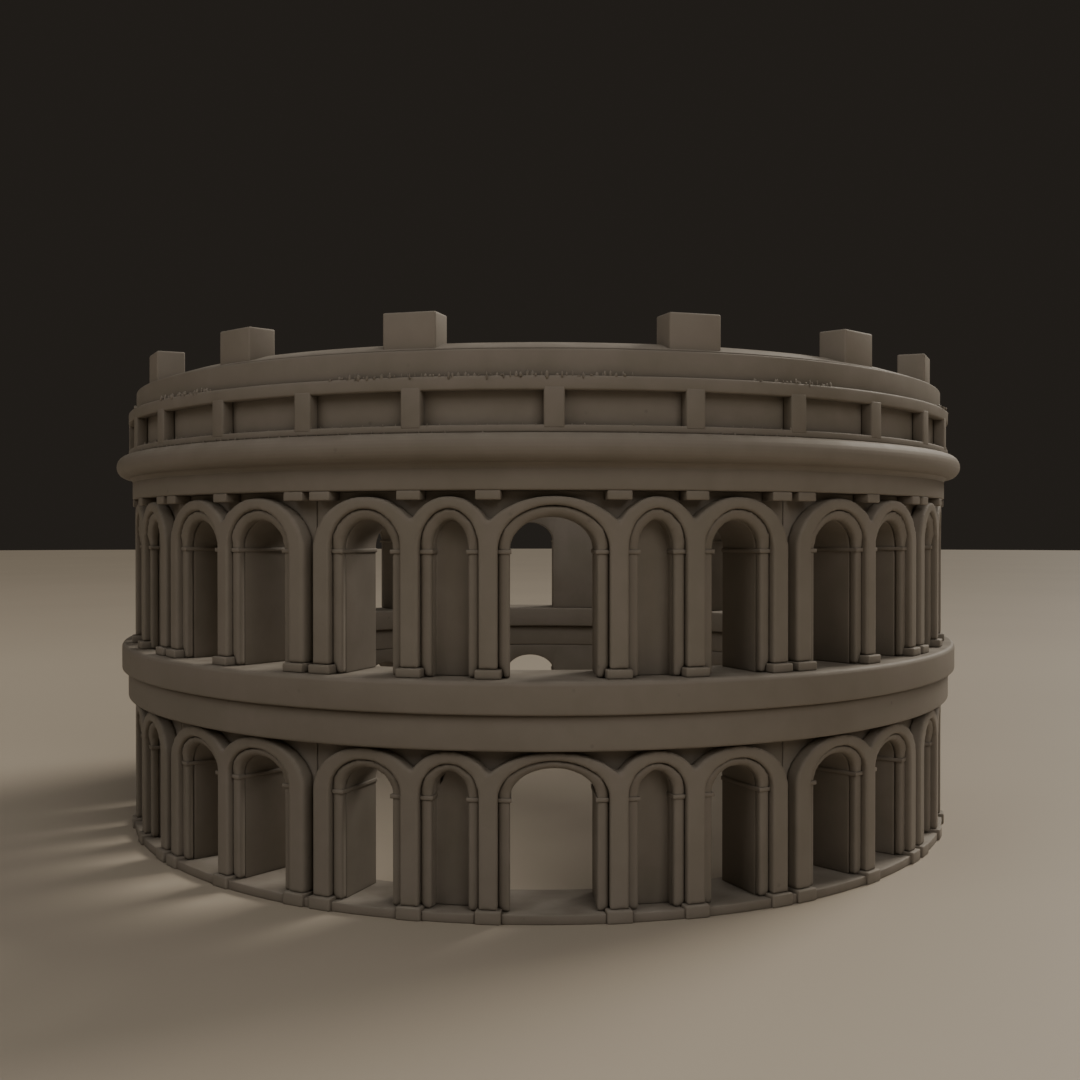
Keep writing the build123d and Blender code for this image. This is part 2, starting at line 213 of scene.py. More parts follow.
@dataclass(frozen=True)
class ResinEffects:
    """The shader groups that every finish shares, each built once."""

    bevel_radius: float = 0.22 * MM
    # Reach of the ambient occlusion that drives the painted crevice shade.
    crevice_reach: float = 1.1 * MM
    patch_scale: float = 330.0
    pinhole_scale: float = 520.0
    pinhole_spread: float = 170.0
    rub_scale: float = 420.0
    drift_scale: float = 240.0
    # Dark tone of the painted shade inside pinholes.
    pinhole_shade_tone: Colour = (0.05, 0.045, 0.04)
    rubbed_gain: Colour = (1.55, 1.5, 1.42)
    # Dark tone of the painted shade in crevices and recesses.
    crevice_shade_tone: Colour = (0.09, 0.075, 0.06)
    dust_tone: Colour = (0.56, 0.52, 0.46)

    def grain(self) -> bpy.types.NodeTree:
        """Build, or find, the group for mottled colour, casting grain and pinholes, with painted
        shade darkening the pinholes.

        Returns:
            The group.
        """
        if "resin_grain" in bpy.data.node_groups:
            return bpy.data.node_groups["resin_grain"]
        made = Tree.group("resin_grain", "ShaderNodeTree")
        made.socket("Vector", "Vector")
        made.socket("Tone", "Color", (0.4, 0.4, 0.4, 1))
        made.socket("Mottle", "Float", 0.1)
        made.socket("Mottle Scale", "Float", 60.0)
        made.socket("Grain Scale", "Float", 1500.0)
        for name, kind in (("Color", "Color"), ("Height", "Float"), ("Roughness", "Float")):
            made.socket(name, kind, output=True)
        given = made.node("NodeGroupInput").outputs
        vector = given["Vector"]
        cloud = made.noise(vector, given["Mottle Scale"], 5.0)
        patch = made.noise(vector, self.patch_scale, 3.0, Distortion=0.4)
        fine = made.noise(vector, given["Grain Scale"], 4.0)
        holes = made.node(
            "ShaderNodeTexVoronoi", None, Vector=vector, Scale=self.pinhole_scale, Randomness=1.0
        )
        sparse = made.noise(vector, self.pinhole_spread, 1.0)
        hollow = made.ramp(holes.outputs["Distance"], 0.05, 0.16, 1.0, 0.0)
        pits = made.maths("MULTIPLY", hollow, made.ramp(sparse.outputs["Fac"], 0.62, 0.68))
        broad = made.ramp(cloud.outputs["Fac"], 0.3, 0.7, -1.0, 1.0)
        small = made.ramp(patch.outputs["Fac"], 0.3, 0.7, -0.55, 0.55)
        shade = made.maths("MULTIPLY_ADD", made.maths("ADD", broad, small), given["Mottle"])
        shade.node.inputs[2].default_value = 1.0
        warm = made.maths("POWER", shade, 1.25)
        tint = made.node("ShaderNodeCombineColor", None, i0=shade, i1=shade, i2=warm)
        toned = made.mix(1.0, given["Tone"], tint.outputs[0], "MULTIPLY")
        # Painted shade: pinholes are darkened in colour, standing in for the shade inside them.
        pinhole_shaded = made.mix(made.maths("MULTIPLY", pits, 0.25), toned, (*self.pinhole_shade_tone, 1))
        fine_part = made.maths("MULTIPLY", fine.outputs["Fac"], 0.45)
        patch_part = made.maths("MULTIPLY", patch.outputs["Fac"], 0.55)
        height = made.maths("ADD", fine_part, patch_part)
        height = made.maths("SUBTRACT", height, made.maths("MULTIPLY", pits, 0.8))
        rough = made.ramp(patch.outputs["Fac"], 0.25, 0.75, -0.05, 0.07)
        made.node("NodeGroupOutput", None, Color=pinhole_shaded, Height=height, Roughness=rough)
        return made.tree

    def wear(self) -> bpy.types.NodeTree:
        """Build, or find, the group for rubbed edges, painted shade in crevices and softened
        normals.

        Returns:
            The group.
        """
        if "edge_and_crevice" in bpy.data.node_groups:
            return bpy.data.node_groups["edge_and_crevice"]
        made = Tree.group("edge_and_crevice", "ShaderNodeTree")
        made.socket("Color", "Color", (0.4, 0.4, 0.4, 1))
        made.socket("Vector", "Vector")
        # Crevice is the share of painted shade in crevices and recesses.
        made.socket("Rubbed", "Float", 0.3)
        made.socket("Crevice", "Float", 0.3)
        for name, kind in (("Color", "Color"), ("Mask", "Float"), ("Normal", "Vector")):
            made.socket(name, kind, output=True)
        given = made.node("NodeGroupInput").outputs
        soft = made.node("ShaderNodeBevel", {"samples": 4}, Radius=self.bevel_radius)
        flat = made.node("ShaderNodeNewGeometry")
        turned = made.node(
            "ShaderNodeVectorMath", {"operation": "DOT_PRODUCT"},
            i0=soft.outputs[0], i1=flat.outputs["Normal"],
        )
        edge = made.ramp(turned.outputs["Value"], 0.995, 0.86)
        broken = made.noise(given["Vector"], self.rub_scale, 4.0)
        edge = made.maths("MULTIPLY", edge, made.ramp(broken.outputs["Fac"], 0.36, 0.6))
        rubbed = made.maths("MULTIPLY", edge, given["Rubbed"])
        light = made.mix(1.0, given["Color"], (*self.rubbed_gain, 1), "MULTIPLY")
        worn = made.mix(rubbed, given["Color"], light)
        # Painted shade: ambient occlusion darkens crevices and recesses towards a dark tone,
        # standing in for the shade that falls there.
        shelter = made.node(
            "ShaderNodeAmbientOcclusion", {"samples": 6}, Distance=self.crevice_reach
        )
        sheltered = made.ramp(shelter.outputs["AO"], 0.75, 0.2)
        crevice = made.maths("MULTIPLY", sheltered, given["Crevice"])
        crevice_shaded = made.mix(crevice, worn, (*self.crevice_shade_tone, 1))
        made.node("NodeGroupOutput", None, Color=crevice_shaded, Mask=edge, Normal=soft.outputs[0])
        return made.tree

    def dust(self) -> bpy.types.NodeTree:
        """Build, or find, the group for pale dust on faces that look up.

        Returns:
            The group.
        """
        if "settled_dust" in bpy.data.node_groups:
            return bpy.data.node_groups["settled_dust"]
        made = Tree.group("settled_dust", "ShaderNodeTree")
        made.socket("Color", "Color", (0.4, 0.4, 0.4, 1))
        made.socket("Vector", "Vector")
        made.socket("Amount", "Float", 0.3)
        made.socket("Color", "Color", output=True)
        made.socket("Roughness", "Float", output=True)
        given = made.node("NodeGroupInput").outputs
        normal = made.node("ShaderNodeNewGeometry").outputs["Normal"]
        facing = made.node("ShaderNodeSeparateXYZ", None, i0=normal)
        upward = made.ramp(facing.outputs["Z"], 0.35, 0.95)
        drift = made.noise(given["Vector"], self.drift_scale, 6.0)
        cover = made.maths("MULTIPLY", upward, made.ramp(drift.outputs["Fac"], 0.35, 0.72))
        cover = made.maths("MULTIPLY", cover, given["Amount"])
        dusty = made.mix(cover, given["Color"], (*self.dust_tone, 1))
        rough = made.maths("MULTIPLY", cover, 0.25)
        made.node("NodeGroupOutput", None, Color=dusty, Roughness=rough)
        return made.tree


@dataclass(frozen=True)
class Resin:
    """Matt cast resin in one tone, with its grain, wear and dust, and painted shade in its crevices
    and pinholes.
    """

    name: str
    tone: Colour
    roughness: float = 0.62
    mottle: float = 0.07
    mottle_scale: float = 55.0
    grain_scale: float = 1500.0
    grain_depth: float = 0.045 * MM
    rubbed: float = 0.3
    # crevice is the share of painted shade in crevices and recesses.
    crevice: float = 0.35
    dust: float = 0.3
    edge_polish: float = 0.1
    bump_strength: float = 0.55
    specular: float = 0.35

    def material(self) -> bpy.types.Material:
        """Build the finish's material, or find it.

        Returns:
            The material.
        """
        if self.name in bpy.data.materials:
            return bpy.data.materials[self.name]
        made = bpy.data.materials.new(self.name)
        made.use_nodes = True
        nodes = Tree(made.node_tree)
        shader = nodes.tree.nodes["Principled BSDF"]
        effects = ResinEffects()
        vector = nodes.node("ShaderNodeTexCoord").outputs["Object"]
        grain = nodes.node(
            "ShaderNodeGroup", {"node_tree": effects.grain()}, Vector=vector,
            Tone=(*self.tone, 1), Mottle=self.mottle, Mottle_Scale=self.mottle_scale,
            Grain_Scale=self.grain_scale,
        )
        wear = nodes.node(
            "ShaderNodeGroup", {"node_tree": effects.wear()}, Vector=vector,
            Rubbed=self.rubbed, Color=grain.outputs["Color"], Crevice=self.crevice,
        )
        dust = nodes.node(
            "ShaderNodeGroup", {"node_tree": effects.dust()}, Vector=vector,
            Amount=self.dust, Color=wear.outputs["Color"],
        )
        rough = nodes.maths("ADD", grain.outputs["Roughness"], self.roughness)
        rough = nodes.maths("ADD", rough, dust.outputs["Roughness"])
        polish = nodes.maths("MULTIPLY", wear.outputs["Mask"], self.edge_polish)
        rough = nodes.maths("SUBTRACT", rough, polish)
        bump = nodes.node(
            "ShaderNodeBump", None, Strength=self.bump_strength, Distance=self.grain_depth,
            Height=grain.outputs["Height"], Normal=wear.outputs["Normal"],
        )
        links = nodes.tree.links
        links.new(dust.outputs["Color"], shader.inputs["Base Color"])
        links.new(rough, shader.inputs["Roughness"])
        links.new(bump.outputs["Normal"], shader.inputs["Normal"])
        shader.inputs["Specular IOR Level"].default_value = self.specular
        return made


COURSE = Resin("course_resin_finish", (0.235, 0.205, 0.170))
FOOT = Resin("foot_resin_finish", (0.245, 0.215, 0.178), rubbed=0.4)
WALL = Resin("wall_resin_finish", (0.225, 0.197, 0.163), mottle=0.09, mottle_scale=80.0)
ARCADE = Resin("arcade_resin_finish", (0.240, 0.210, 0.174), rubbed=0.35)
ORDER = Resin("order_resin_finish", (0.232, 0.203, 0.168), grain_scale=1700.0)
MOULDING = Resin("moulding_resin_finish", (0.238, 0.208, 0.173), rubbed=0.4)
ATTIC = Resin(
    "attic_resin_finish", (0.228, 0.200, 0.166), mottle=0.08, mottle_scale=95.0, crevice=0.5,
    dust=0.2,
)
MERLON = Resin("merlon_resin_finish", (0.250, 0.219, 0.183), rubbed=0.5, dust=0.4)
DOWEL = Resin("dowel_plastic_finish", (0.32, 0.30, 0.27), roughness=0.45, dust=0.0, crevice=0.2)


# ---- the oval and its mesh tools


@dataclass(frozen=True)
class Oval:
    """Datum oval struck from four centres, on which every course is set out, in metres."""

    half_width: float
    half_length: float
    steps: int = 84

    @classmethod
    def from_frame(cls) -> "Oval":
        """Take the datum from the entablature, whose outer face it is."""
        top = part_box("entablature")[1]
        return cls(top.x, top.y)

    def centre_distance(self) -> float:
        """Distance of each arc's centre from the middle."""
        return (self.half_length - self.half_width) / (2 - math.sqrt(2))

    def arc_centre(self, point: Vector) -> Vector:
        """Find the arc that a point belongs to.

        Args:
            point: Any point outside the middle.

        Returns:
            The arc's centre, at floor level.
        """
        reach = self.centre_distance()
        if abs(point.y) - abs(point.x) > reach:
            return Vector((0, math.copysign(reach, point.y), 0))
        return Vector((math.copysign(reach, -point.x), 0, 0))

    def outward(self, point: Vector) -> Vector:
        """Return the level unit vector square to the oval at a point."""
        away = Vector((point.x, point.y, 0)) - self.arc_centre(point)
        return away.normalized()

    def offset_of(self, point: Vector) -> float:
        """Measure how far a point stands outside the datum.

        Args:
            point: Point to measure.

        Returns:
            The distance, below zero for a point inside.
        """
        centre = self.arc_centre(point)
        reach = self.centre_distance()
        radius = self.half_length - reach if centre.x == 0 else self.half_width + reach
        return (Vector((point.x, point.y, 0)) - centre).length - radius

    def points(self, offset: float = 0.0, height: float = 0.0) -> list[Vector]:
        """Space points all round, anticlockwise.

        Args:
            offset: Distance outside the datum.
            height: Level of the points.

        Returns:
            The points, in order.
        """
        reach = self.centre_distance()
        end, side = self.half_length - reach, self.half_width + reach
        arcs = (
            (0, -reach, end, -135),
            (-reach, 0, side, -45),
            (0, reach, end, 45),
            (reach, 0, side, 135),
        )
        found = []
        for x, y, radius, start in arcs:
            for step in range(self.steps):
                turn = math.radians(start + 90 * step / self.steps)
                out = radius + offset
                found.append(Vector((x + out * math.cos(turn), y + out * math.sin(turn), height)))
        return found


def new_object(name: str, data: bpy.types.ID) -> bpy.types.Object:
    """Link a new object to the scene.

    Args:
        name: Name of the object.
        data: Mesh, light or camera that it shows.

    Returns:
        The object.
    """
    made = bpy.data.objects.new(name, data)
    bpy.context.scene.collection.objects.link(made)
    return made


def line_object(name: str, points: list[Vector], closed: bool = True) -> bpy.types.Object:
    """Draw a run of edges.

    Args:
        name: Name of the object.
        points: Corners of the run, in order.
        closed: True to join the last corner to the first.

    Returns:
        An object whose mesh is the run.
    """
    mesh = bpy.data.meshes.new(name)
    edges = [(place, place + 1) for place in range(len(points) - 1)]
    if closed:
        edges.append((len(points) - 1, 0))
    mesh.from_pydata(points, edges, [])
    return new_object(name, mesh)


def merged_mesh(node: str) -> bmesh.types.BMesh:
    """Copy a CAD node's mesh and join its loose triangles.

    Args:
        node: Name of the CAD node.

    Returns:
        The copy, for the caller to free.
    """
    work = bmesh.new()
    work.from_mesh(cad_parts[node].data)
    bmesh.ops.remove_doubles(work, verts=work.verts, dist=MERGE_DISTANCE)
    return work


def solids_of(node: str) -> list[list[Vector]]:
    """Sort the corners of a CAD node by separate solid.

    Args:
        node: Name of the CAD node.

    Returns:
        The corner points of each solid, in a steady order.
    """
    work = merged_mesh(node)
    waiting = set(work.verts)
    found = []
    for start in work.verts:
        if start not in waiting:
            continue
        waiting.discard(start)
        island, edge = [start], [start]
        while edge:
            for link in edge.pop().link_edges:
                for corner in link.verts:
                    if corner in waiting:
                        waiting.discard(corner)
                        island.append(corner)
                        edge.append(corner)
        found.append([corner.co.copy() for corner in island])
    work.free()
    return sorted(found, key=lambda corners: tuple(round(x, 5) for x in sum(corners, Vector())))


def settle(host: bpy.types.Object, spare: list[bpy.types.Object], name: str) -> bpy.types.Object:
    """Turn a host with its Geometry Nodes modifier into a plain mesh object.

    Args:
        host: Object that carries the modifier.
        spare: Helper objects to remove afterwards.
        name: Name of the finished piece.

    Returns:
        The finished piece, at the origin, with no modifier.
    """
    graph = bpy.context.evaluated_depsgraph_get()
    mesh = bpy.data.meshes.new_from_object(host.evaluated_get(graph), depsgraph=graph)
    for item in [host, *spare]:
        bpy.data.objects.remove(item)
    work = bmesh.new()
    work.from_mesh(mesh)
    bmesh.ops.remove_doubles(work, verts=work.verts, dist=WELD_DISTANCE)
    bmesh.ops.recalc_face_normals(work, faces=work.faces)
    work.to_mesh(mesh)
    work.free()
    mesh.name = name
    return new_object(name, mesh)


def dress(
    piece: bpy.types.Object, finish: Resin, slot: str, *nodes: str, sharp: float | None = None
) -> bpy.types.Object:
    """Shade a piece smoothly and give it its finish and body.

    Args:
        piece: Finished piece.
        finish: Finish that covers it.
        slot: Material slot of the record; not used.
        *nodes: CAD nodes that it stands for.
        sharp: Angle in degrees beyond which an edge stays sharp; None leaves every edge smooth.

    Returns:
        The same piece.
    """
    piece.data.shade_smooth()
    if sharp is not None:
        piece.data.set_sharp_from_angle(angle=math.radians(sharp))
    piece.data.materials.clear()
    piece.data.materials.append(finish.material())
    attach(piece, ROOT)
    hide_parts(*nodes)
    LOG.info("%s: %d faces for %s", piece.name, len(piece.data.polygons), ", ".join(nodes))
    return piece


# ---- courses swept round the oval


@dataclass
class Course:
    """One ring of the model, swept round the datum from its section.

    The flare gives the cove's hollow as shares of its projection and of its rise.
    """

    node: str
    oval: Oval
    section: Section
    inner: float
    slot: str = "course_resin"
    finish: Resin = COURSE
    edge_radius: float = 0.2 * MM
    edge_steps: int = 3
    crest: float = 0.0
    overlap: float = 0.0
    wobble: float = 0.035 * MM
    wobble_scale: float = 140.0
    sharp_degrees: float = 42.0
    rounding: float = 0.45 * MM
    nose_steps: int = 12
    flare: tuple[Point2, ...] = ((0.05, 0.3), (0.3, 0.68), (0.62, 0.92))

    def outline(self) -> list[Point2]:
        """Set out the section from its node's box.

        Returns:
            The corners as offsets and heights, from the inner foot round to the inner top.
        """
        low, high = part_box(self.node)
        outer = high.x - self.oval.half_width
        inner, bottom, top = self.inner, low.z, high.z + self.overlap
        if self.section is Section.HOLLOW_FLARE:
            rise = top - bottom
            hollow = [(outer * out, bottom + rise * up) for out, up in self.flare]
            return [(inner, bottom), (0.0, bottom), *hollow, (outer, top), (inner, top)]
        if self.section is Section.HALF_ROUND:
            middle, half = (bottom + top) / 2, (top - bottom) / 2
            nose = []
            for step in range(self.nose_steps + 1):
                turn = math.pi * (step / self.nose_steps - 0.5)
                nose.append((outer + half * (math.cos(turn) - 1), middle + half * math.sin(turn)))
            return [(inner, bottom), *nose, (inner, top)]
        if self.section is Section.WEATHERED:
            return [(inner, bottom), (outer, bottom), (self.crest, top), (inner, top)]
        if self.section is Section.ROUNDED_TOP:
            drop = self.rounding
            shoulder = (outer - drop / 3, top - drop / 3)
            return [
                (inner, bottom), (outer, bottom), (outer, top - drop),
                shoulder, (outer - drop, top), (inner, top),
            ]
        return [(inner, bottom), (outer, bottom), (outer, top), (inner, top)]

    def tree(self) -> tuple[bpy.types.NodeTree, NamedInputs]:
        """Build the sweep's Geometry Nodes tree.

        Returns:
            The tree, and the identifier of each named input.
        """
        made = Tree.group(f"{self.node}_sweep", "GeometryNodeTree")
        made.socket("Path", "Geometry")
        names = {
            "Section": made.socket("Section", "Object"),
            "Edge Radius": made.socket("Edge Radius", "Float", self.edge_radius),
            "Edge Steps": made.socket("Edge Steps", "Int", self.edge_steps),
            "Wobble": made.socket("Wobble", "Float", self.wobble),
            "Finish": made.socket("Finish", "Material"),
        }
        made.socket("Mesh", "Geometry", output=True)
        given = made.node("NodeGroupInput").outputs
        path = made.node("GeometryNodeMeshToCurve", None, Mesh=given["Path"])
        level = made.node("GeometryNodeSetCurveNormal", {"mode": "Z_UP"}, Curve=path.outputs[0])
        shape = made.node("GeometryNodeObjectInfo", None, Object=given["Section"])
        outline = made.node("GeometryNodeMeshToCurve", None, Mesh=shape.outputs["Geometry"])
        eased = made.node(
            "GeometryNodeFilletCurve", {"mode": "POLY"}, Curve=outline.outputs[0],
            Radius=given["Edge Radius"], Limit_Radius=True, Count=given["Edge Steps"],
        )
        swept = made.node(
            "GeometryNodeCurveToMesh", None, Curve=level.outputs[0], Profile_Curve=eased.outputs[0]
        )
        spot = made.node("GeometryNodeInputPosition").outputs[0]
        noise = made.noise(spot, self.wobble_scale, 2.0)
        centred = made.node(
            "ShaderNodeVectorMath", {"operation": "SUBTRACT"},
            i0=noise.outputs["Color"], i1=(0.5, 0.5, 0.5),
        )
        moved = made.shifted(swept.outputs[0], centred.outputs[0], given["Wobble"])
        made.finished(moved, given["Finish"])
        return made.tree, names

    def build(self) -> bpy.types.Object:
        """Sweep the section, settle it as a plain mesh and dress it.

        Returns:
            The finished ring.
        """
        corners = [Vector((offset, -height, 0)) for offset, height in self.outline()]
        section = line_object("section", corners)
        host = line_object("path", self.oval.points())
        modifier = host.modifiers.new("sweep", "NODES")
        modifier.node_group, names = self.tree()
        modifier[names["Section"]] = section
        modifier[names["Edge Radius"]] = self.edge_radius
        modifier[names["Edge Steps"]] = self.edge_steps
        modifier[names["Wobble"]] = self.wobble
        modifier[names["Finish"]] = self.finish.material()
        piece = settle(host, [section], f"{self.node}_course")
        return dress(piece, self.finish, self.slot, self.node, sharp=self.sharp_degrees)


# ---- blocks set round the oval


@dataclass
class BlockSet:
    """Equal softened blocks set where the CAD node has its solids.

    Lean is the most that a block may be turned off true, in degrees. Reach runs each block on
    into the courses above and below it, and proud stands it out from them.
    """

    node: str
    oval: Oval
    slot: str
    finish: Resin
    edge_radius: float = 0.16 * MM
    bottom: float | None = None
    lean: float = 0.35
    seed: int = 7
    reach: float = 0.0
    proud: float = 0.0
    edge_steps: int = 3
    sharp_degrees: float = 35.0

    def spots(self) -> tuple[list[Vector], list[float], Vector]:
        """Measure the node's solids.

        Returns:
            The middle of each block, its turn about the upright, and the blocks' common size.
        """
        middles, turns, sizes = [], [], []
        for corners in solids_of(self.node):
            rough = sum(corners, Vector()) / len(corners)
            facing = self.oval.outward(rough)
            along = Vector((-facing.y, facing.x, 0))
            across = [corner.dot(along) for corner in corners]
            depth = [corner.dot(facing) for corner in corners]
            heights = [corner.z for corner in corners]
            low = (min(heights) if self.bottom is None else self.bottom) - self.reach
            high = max(heights) + self.reach
            middle = along * (min(across) + max(across)) / 2
            middle += facing * ((min(depth) + max(depth)) / 2 + self.proud)
            middles.append(Vector((middle.x, middle.y, (low + high) / 2)))
            turns.append(math.atan2(along.y, along.x))
            sizes.append((max(across) - min(across), max(depth) - min(depth), high - low))
        common = [sorted(size[axis] for size in sizes)[len(sizes) // 2] for axis in range(3)]
        return middles, turns, Vector(common)

    def block(self, size: Vector) -> bpy.types.Object:
        """Make one block with rolled edges, about the origin.

        Args:
            size: Width, depth and height.

        Returns:
            The block.
        """
        work = bmesh.new()
        bmesh.ops.create_cube(work, size=1.0)
        bmesh.ops.scale(work, vec=size, verts=work.verts)
        bmesh.ops.bevel(
            work, geom=work.edges[:], offset=self.edge_radius, segments=self.edge_steps,
            profile=0.5, affect="EDGES",
        )
        mesh = bpy.data.meshes.new("block")
        work.to_mesh(mesh)
        work.free()
        return new_object("block", mesh)

    def tree(self) -> tuple[bpy.types.NodeTree, NamedInputs]:
        """Build the tree that sets one block on every spot.

        Returns:
            The tree, and the identifier of each named input.
        """
        made = Tree.group(f"{self.node}_setting", "GeometryNodeTree")
        made.socket("Spots", "Geometry")
        names = {
            "Block": made.socket("Block", "Object"),
            "Lean": made.socket("Lean", "Float", self.lean),
            "Seed": made.socket("Seed", "Int", self.seed),
            "Finish": made.socket("Finish", "Material"),
        }
        made.socket("Mesh", "Geometry", output=True)
        given = made.node("NodeGroupInput").outputs
        turn = made.node("GeometryNodeInputNamedAttribute", {"data_type": "FLOAT"}, Name="turn")
        chance = made.node("FunctionNodeRandomValue", {"data_type": "FLOAT"}, Seed=given["Seed"])
        chance.inputs[2].default_value = -1.0
        chance.inputs[3].default_value = 1.0
        lean = made.maths("MULTIPLY", chance.outputs[1], made.maths("RADIANS", given["Lean"]))
        angle = made.maths("ADD", turn.outputs[0], lean)
        rotation = made.node("ShaderNodeCombineXYZ", None, Z=angle)
        block = made.node("GeometryNodeObjectInfo", None, Object=given["Block"])
        placed = made.node(
            "GeometryNodeInstanceOnPoints", None, Points=given["Spots"],
            Instance=block.outputs["Geometry"], Rotation=rotation.outputs[0],
        )
        made.finished(placed.outputs[0], given["Finish"])
        return made.tree, names

    def build(self) -> bpy.types.Object:
        """Set the blocks, settle them as one plain mesh and dress them.

        Returns:
            The finished set.
        """
        middles, turns, size = self.spots()
        mesh = bpy.data.meshes.new("spots")
        mesh.from_pydata(middles, [], [])
        mesh.attributes.new("turn", "FLOAT", "POINT").data.foreach_set("value", turns)
        host = new_object("spots", mesh)
        block = self.block(size)
        modifier = host.modifiers.new("setting", "NODES")
        modifier.node_group, names = self.tree()
        modifier[names["Block"]] = block
        modifier[names["Lean"]] = self.lean
        modifier[names["Seed"]] = self.seed
        modifier[names["Finish"]] = self.finish.material()
        piece = settle(host, [block], f"{self.node}_set")
        LOG.info("%s: %d blocks", self.node, len(middles))
        return dress(piece, self.finish, self.slot, self.node, sharp=self.sharp_degrees)


# ---- softened castings


@dataclass
class Casting:
    """A CAD casting whose edges are rolled, as moulded resin comes out."""

    node: str
    slot: str
    finish: Resin
    edge_radius: float = 0.13 * MM
    sharp_degrees: float = 34.0
    flat_degrees: float = 0.4
    shading_degrees: float = 28.0
    segments: int = 2

    def mesh(self) -> bpy.types.Mesh:
        """Merge a copy of the node's mesh, join its flat triangles and roll its edges.

        Returns:
            The rolled mesh.
        """
        work = merged_mesh(self.node)
        flat = math.radians(self.flat_degrees)
        bmesh.ops.dissolve_limit(work, angle_limit=flat, verts=work.verts, edges=work.edges)
        limit = math.radians(self.sharp_degrees)
        shared = [edge for edge in work.edges if len(edge.link_faces) == 2]
        sharp = [edge for edge in shared if edge.calc_face_angle(0.0) > limit]
        bmesh.ops.bevel(
            work, geom=sharp, offset=self.edge_radius, offset_type="OFFSET",
            segments=self.segments, profile=0.5, affect="EDGES", clamp_overlap=False,
            loop_slide=True,
        )
        bmesh.ops.triangulate(work, faces=work.faces)
        mesh = bpy.data.meshes.new(f"{self.node}_casting")
        work.to_mesh(mesh)
        work.free()
        return mesh

    def build(self) -> bpy.types.Object:
        """Make the rolled copy and dress it in place of its node.

        Returns:
            The finished casting.
        """
        piece = new_object(f"{self.node}_casting", self.mesh())
        return dress(piece, self.finish, self.slot, self.node, sharp=self.shading_degrees)


@dataclass
class SoftCasting:
    """A CAD casting re-skinned in even facets and relaxed, so its edges are soft all over.

    The facet is in millimetres, because the skin is worked at that scale.
    """

    node: str
    slot: str
    finish: Resin
    facet: float = 0.24
    rounds: int = 4
    ease: float = 0.5

    def mesh(self) -> bpy.types.Mesh:
        """Skin a copy of the node's mesh in millimetres, relax it and bring it back to metres.

        Returns:
            The relaxed mesh.
        """
        work = merged_mesh(self.node)
        bmesh.ops.scale(work, vec=Vector((1, 1, 1)) / MM, verts=work.verts)
        rough = bpy.data.meshes.new("rough")
        work.to_mesh(rough)
        work.free()
        host = new_object("rough", rough)
        skin = host.modifiers.new("skin", "REMESH")
        skin.mode = "VOXEL"
        skin.voxel_size = self.facet
        relax = host.modifiers.new("relax", "SMOOTH")
        relax.factor = self.ease
        relax.iterations = self.rounds
        graph = bpy.context.evaluated_depsgraph_get()
        mesh = bpy.data.meshes.new_from_object(host.evaluated_get(graph), depsgraph=graph)
        bpy.data.objects.remove(host)
        mesh.transform(Matrix.Scale(MM, 4))
        mesh.name = f"{self.node}_casting"
        return mesh

    def build(self) -> bpy.types.Object:
        """Make the soft copy and dress it in place of its node.

        Returns:
            The finished casting.
        """
        piece = new_object(f"{self.node}_casting", self.mesh())
        return dress(piece, self.finish, self.slot, self.node)


@dataclass
class SplayedOrders(SoftCasting):
    """Inner orders whose arch heads slope out to meet the arch frames round them."""

    oval: Oval | None = None
    frames: tuple[str, ...] = ()
    springing: float = 0.0
    face: float = -1.1 * MM
    outer_face: float = -0.58 * MM
    width: float = 1.3 * MM
    skin_depth: float = 0.55 * MM
    blend_height: float = 1.6 * MM

    def frame_tree(self) -> BVHTree:
        """Gather the arch frames.

        Returns:
            A search tree over their faces.
        """
        joined = bmesh.new()
        for node in self.frames:
            joined.from_mesh(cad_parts[node].data)
        tree = BVHTree.FromBMesh(joined)
        joined.free()
        return tree

    def mesh(self) -> bpy.types.Mesh:
        """Slope the heads of the soft skin.

        Returns:
            The sloped mesh.
        """
        mesh = super().mesh()
        tree = self.frame_tree()
        for vertex in mesh.vertices:
            above = (vertex.co.z - self.springing) / self.blend_height
            front = (self.oval.offset_of(vertex.co) - self.face) / self.skin_depth + 1
            if above <= 0 or front <= 0:
                continue
            gap = tree.find_nearest(vertex.co)[3]
            near = max(0.0, 1 - gap / self.width)
            share = min(1.0, above) * min(1.0, front) * near
            vertex.co += self.oval.outward(vertex.co) * (self.outer_face - self.face) * share
        return mesh


# ---- flecks left by the mould


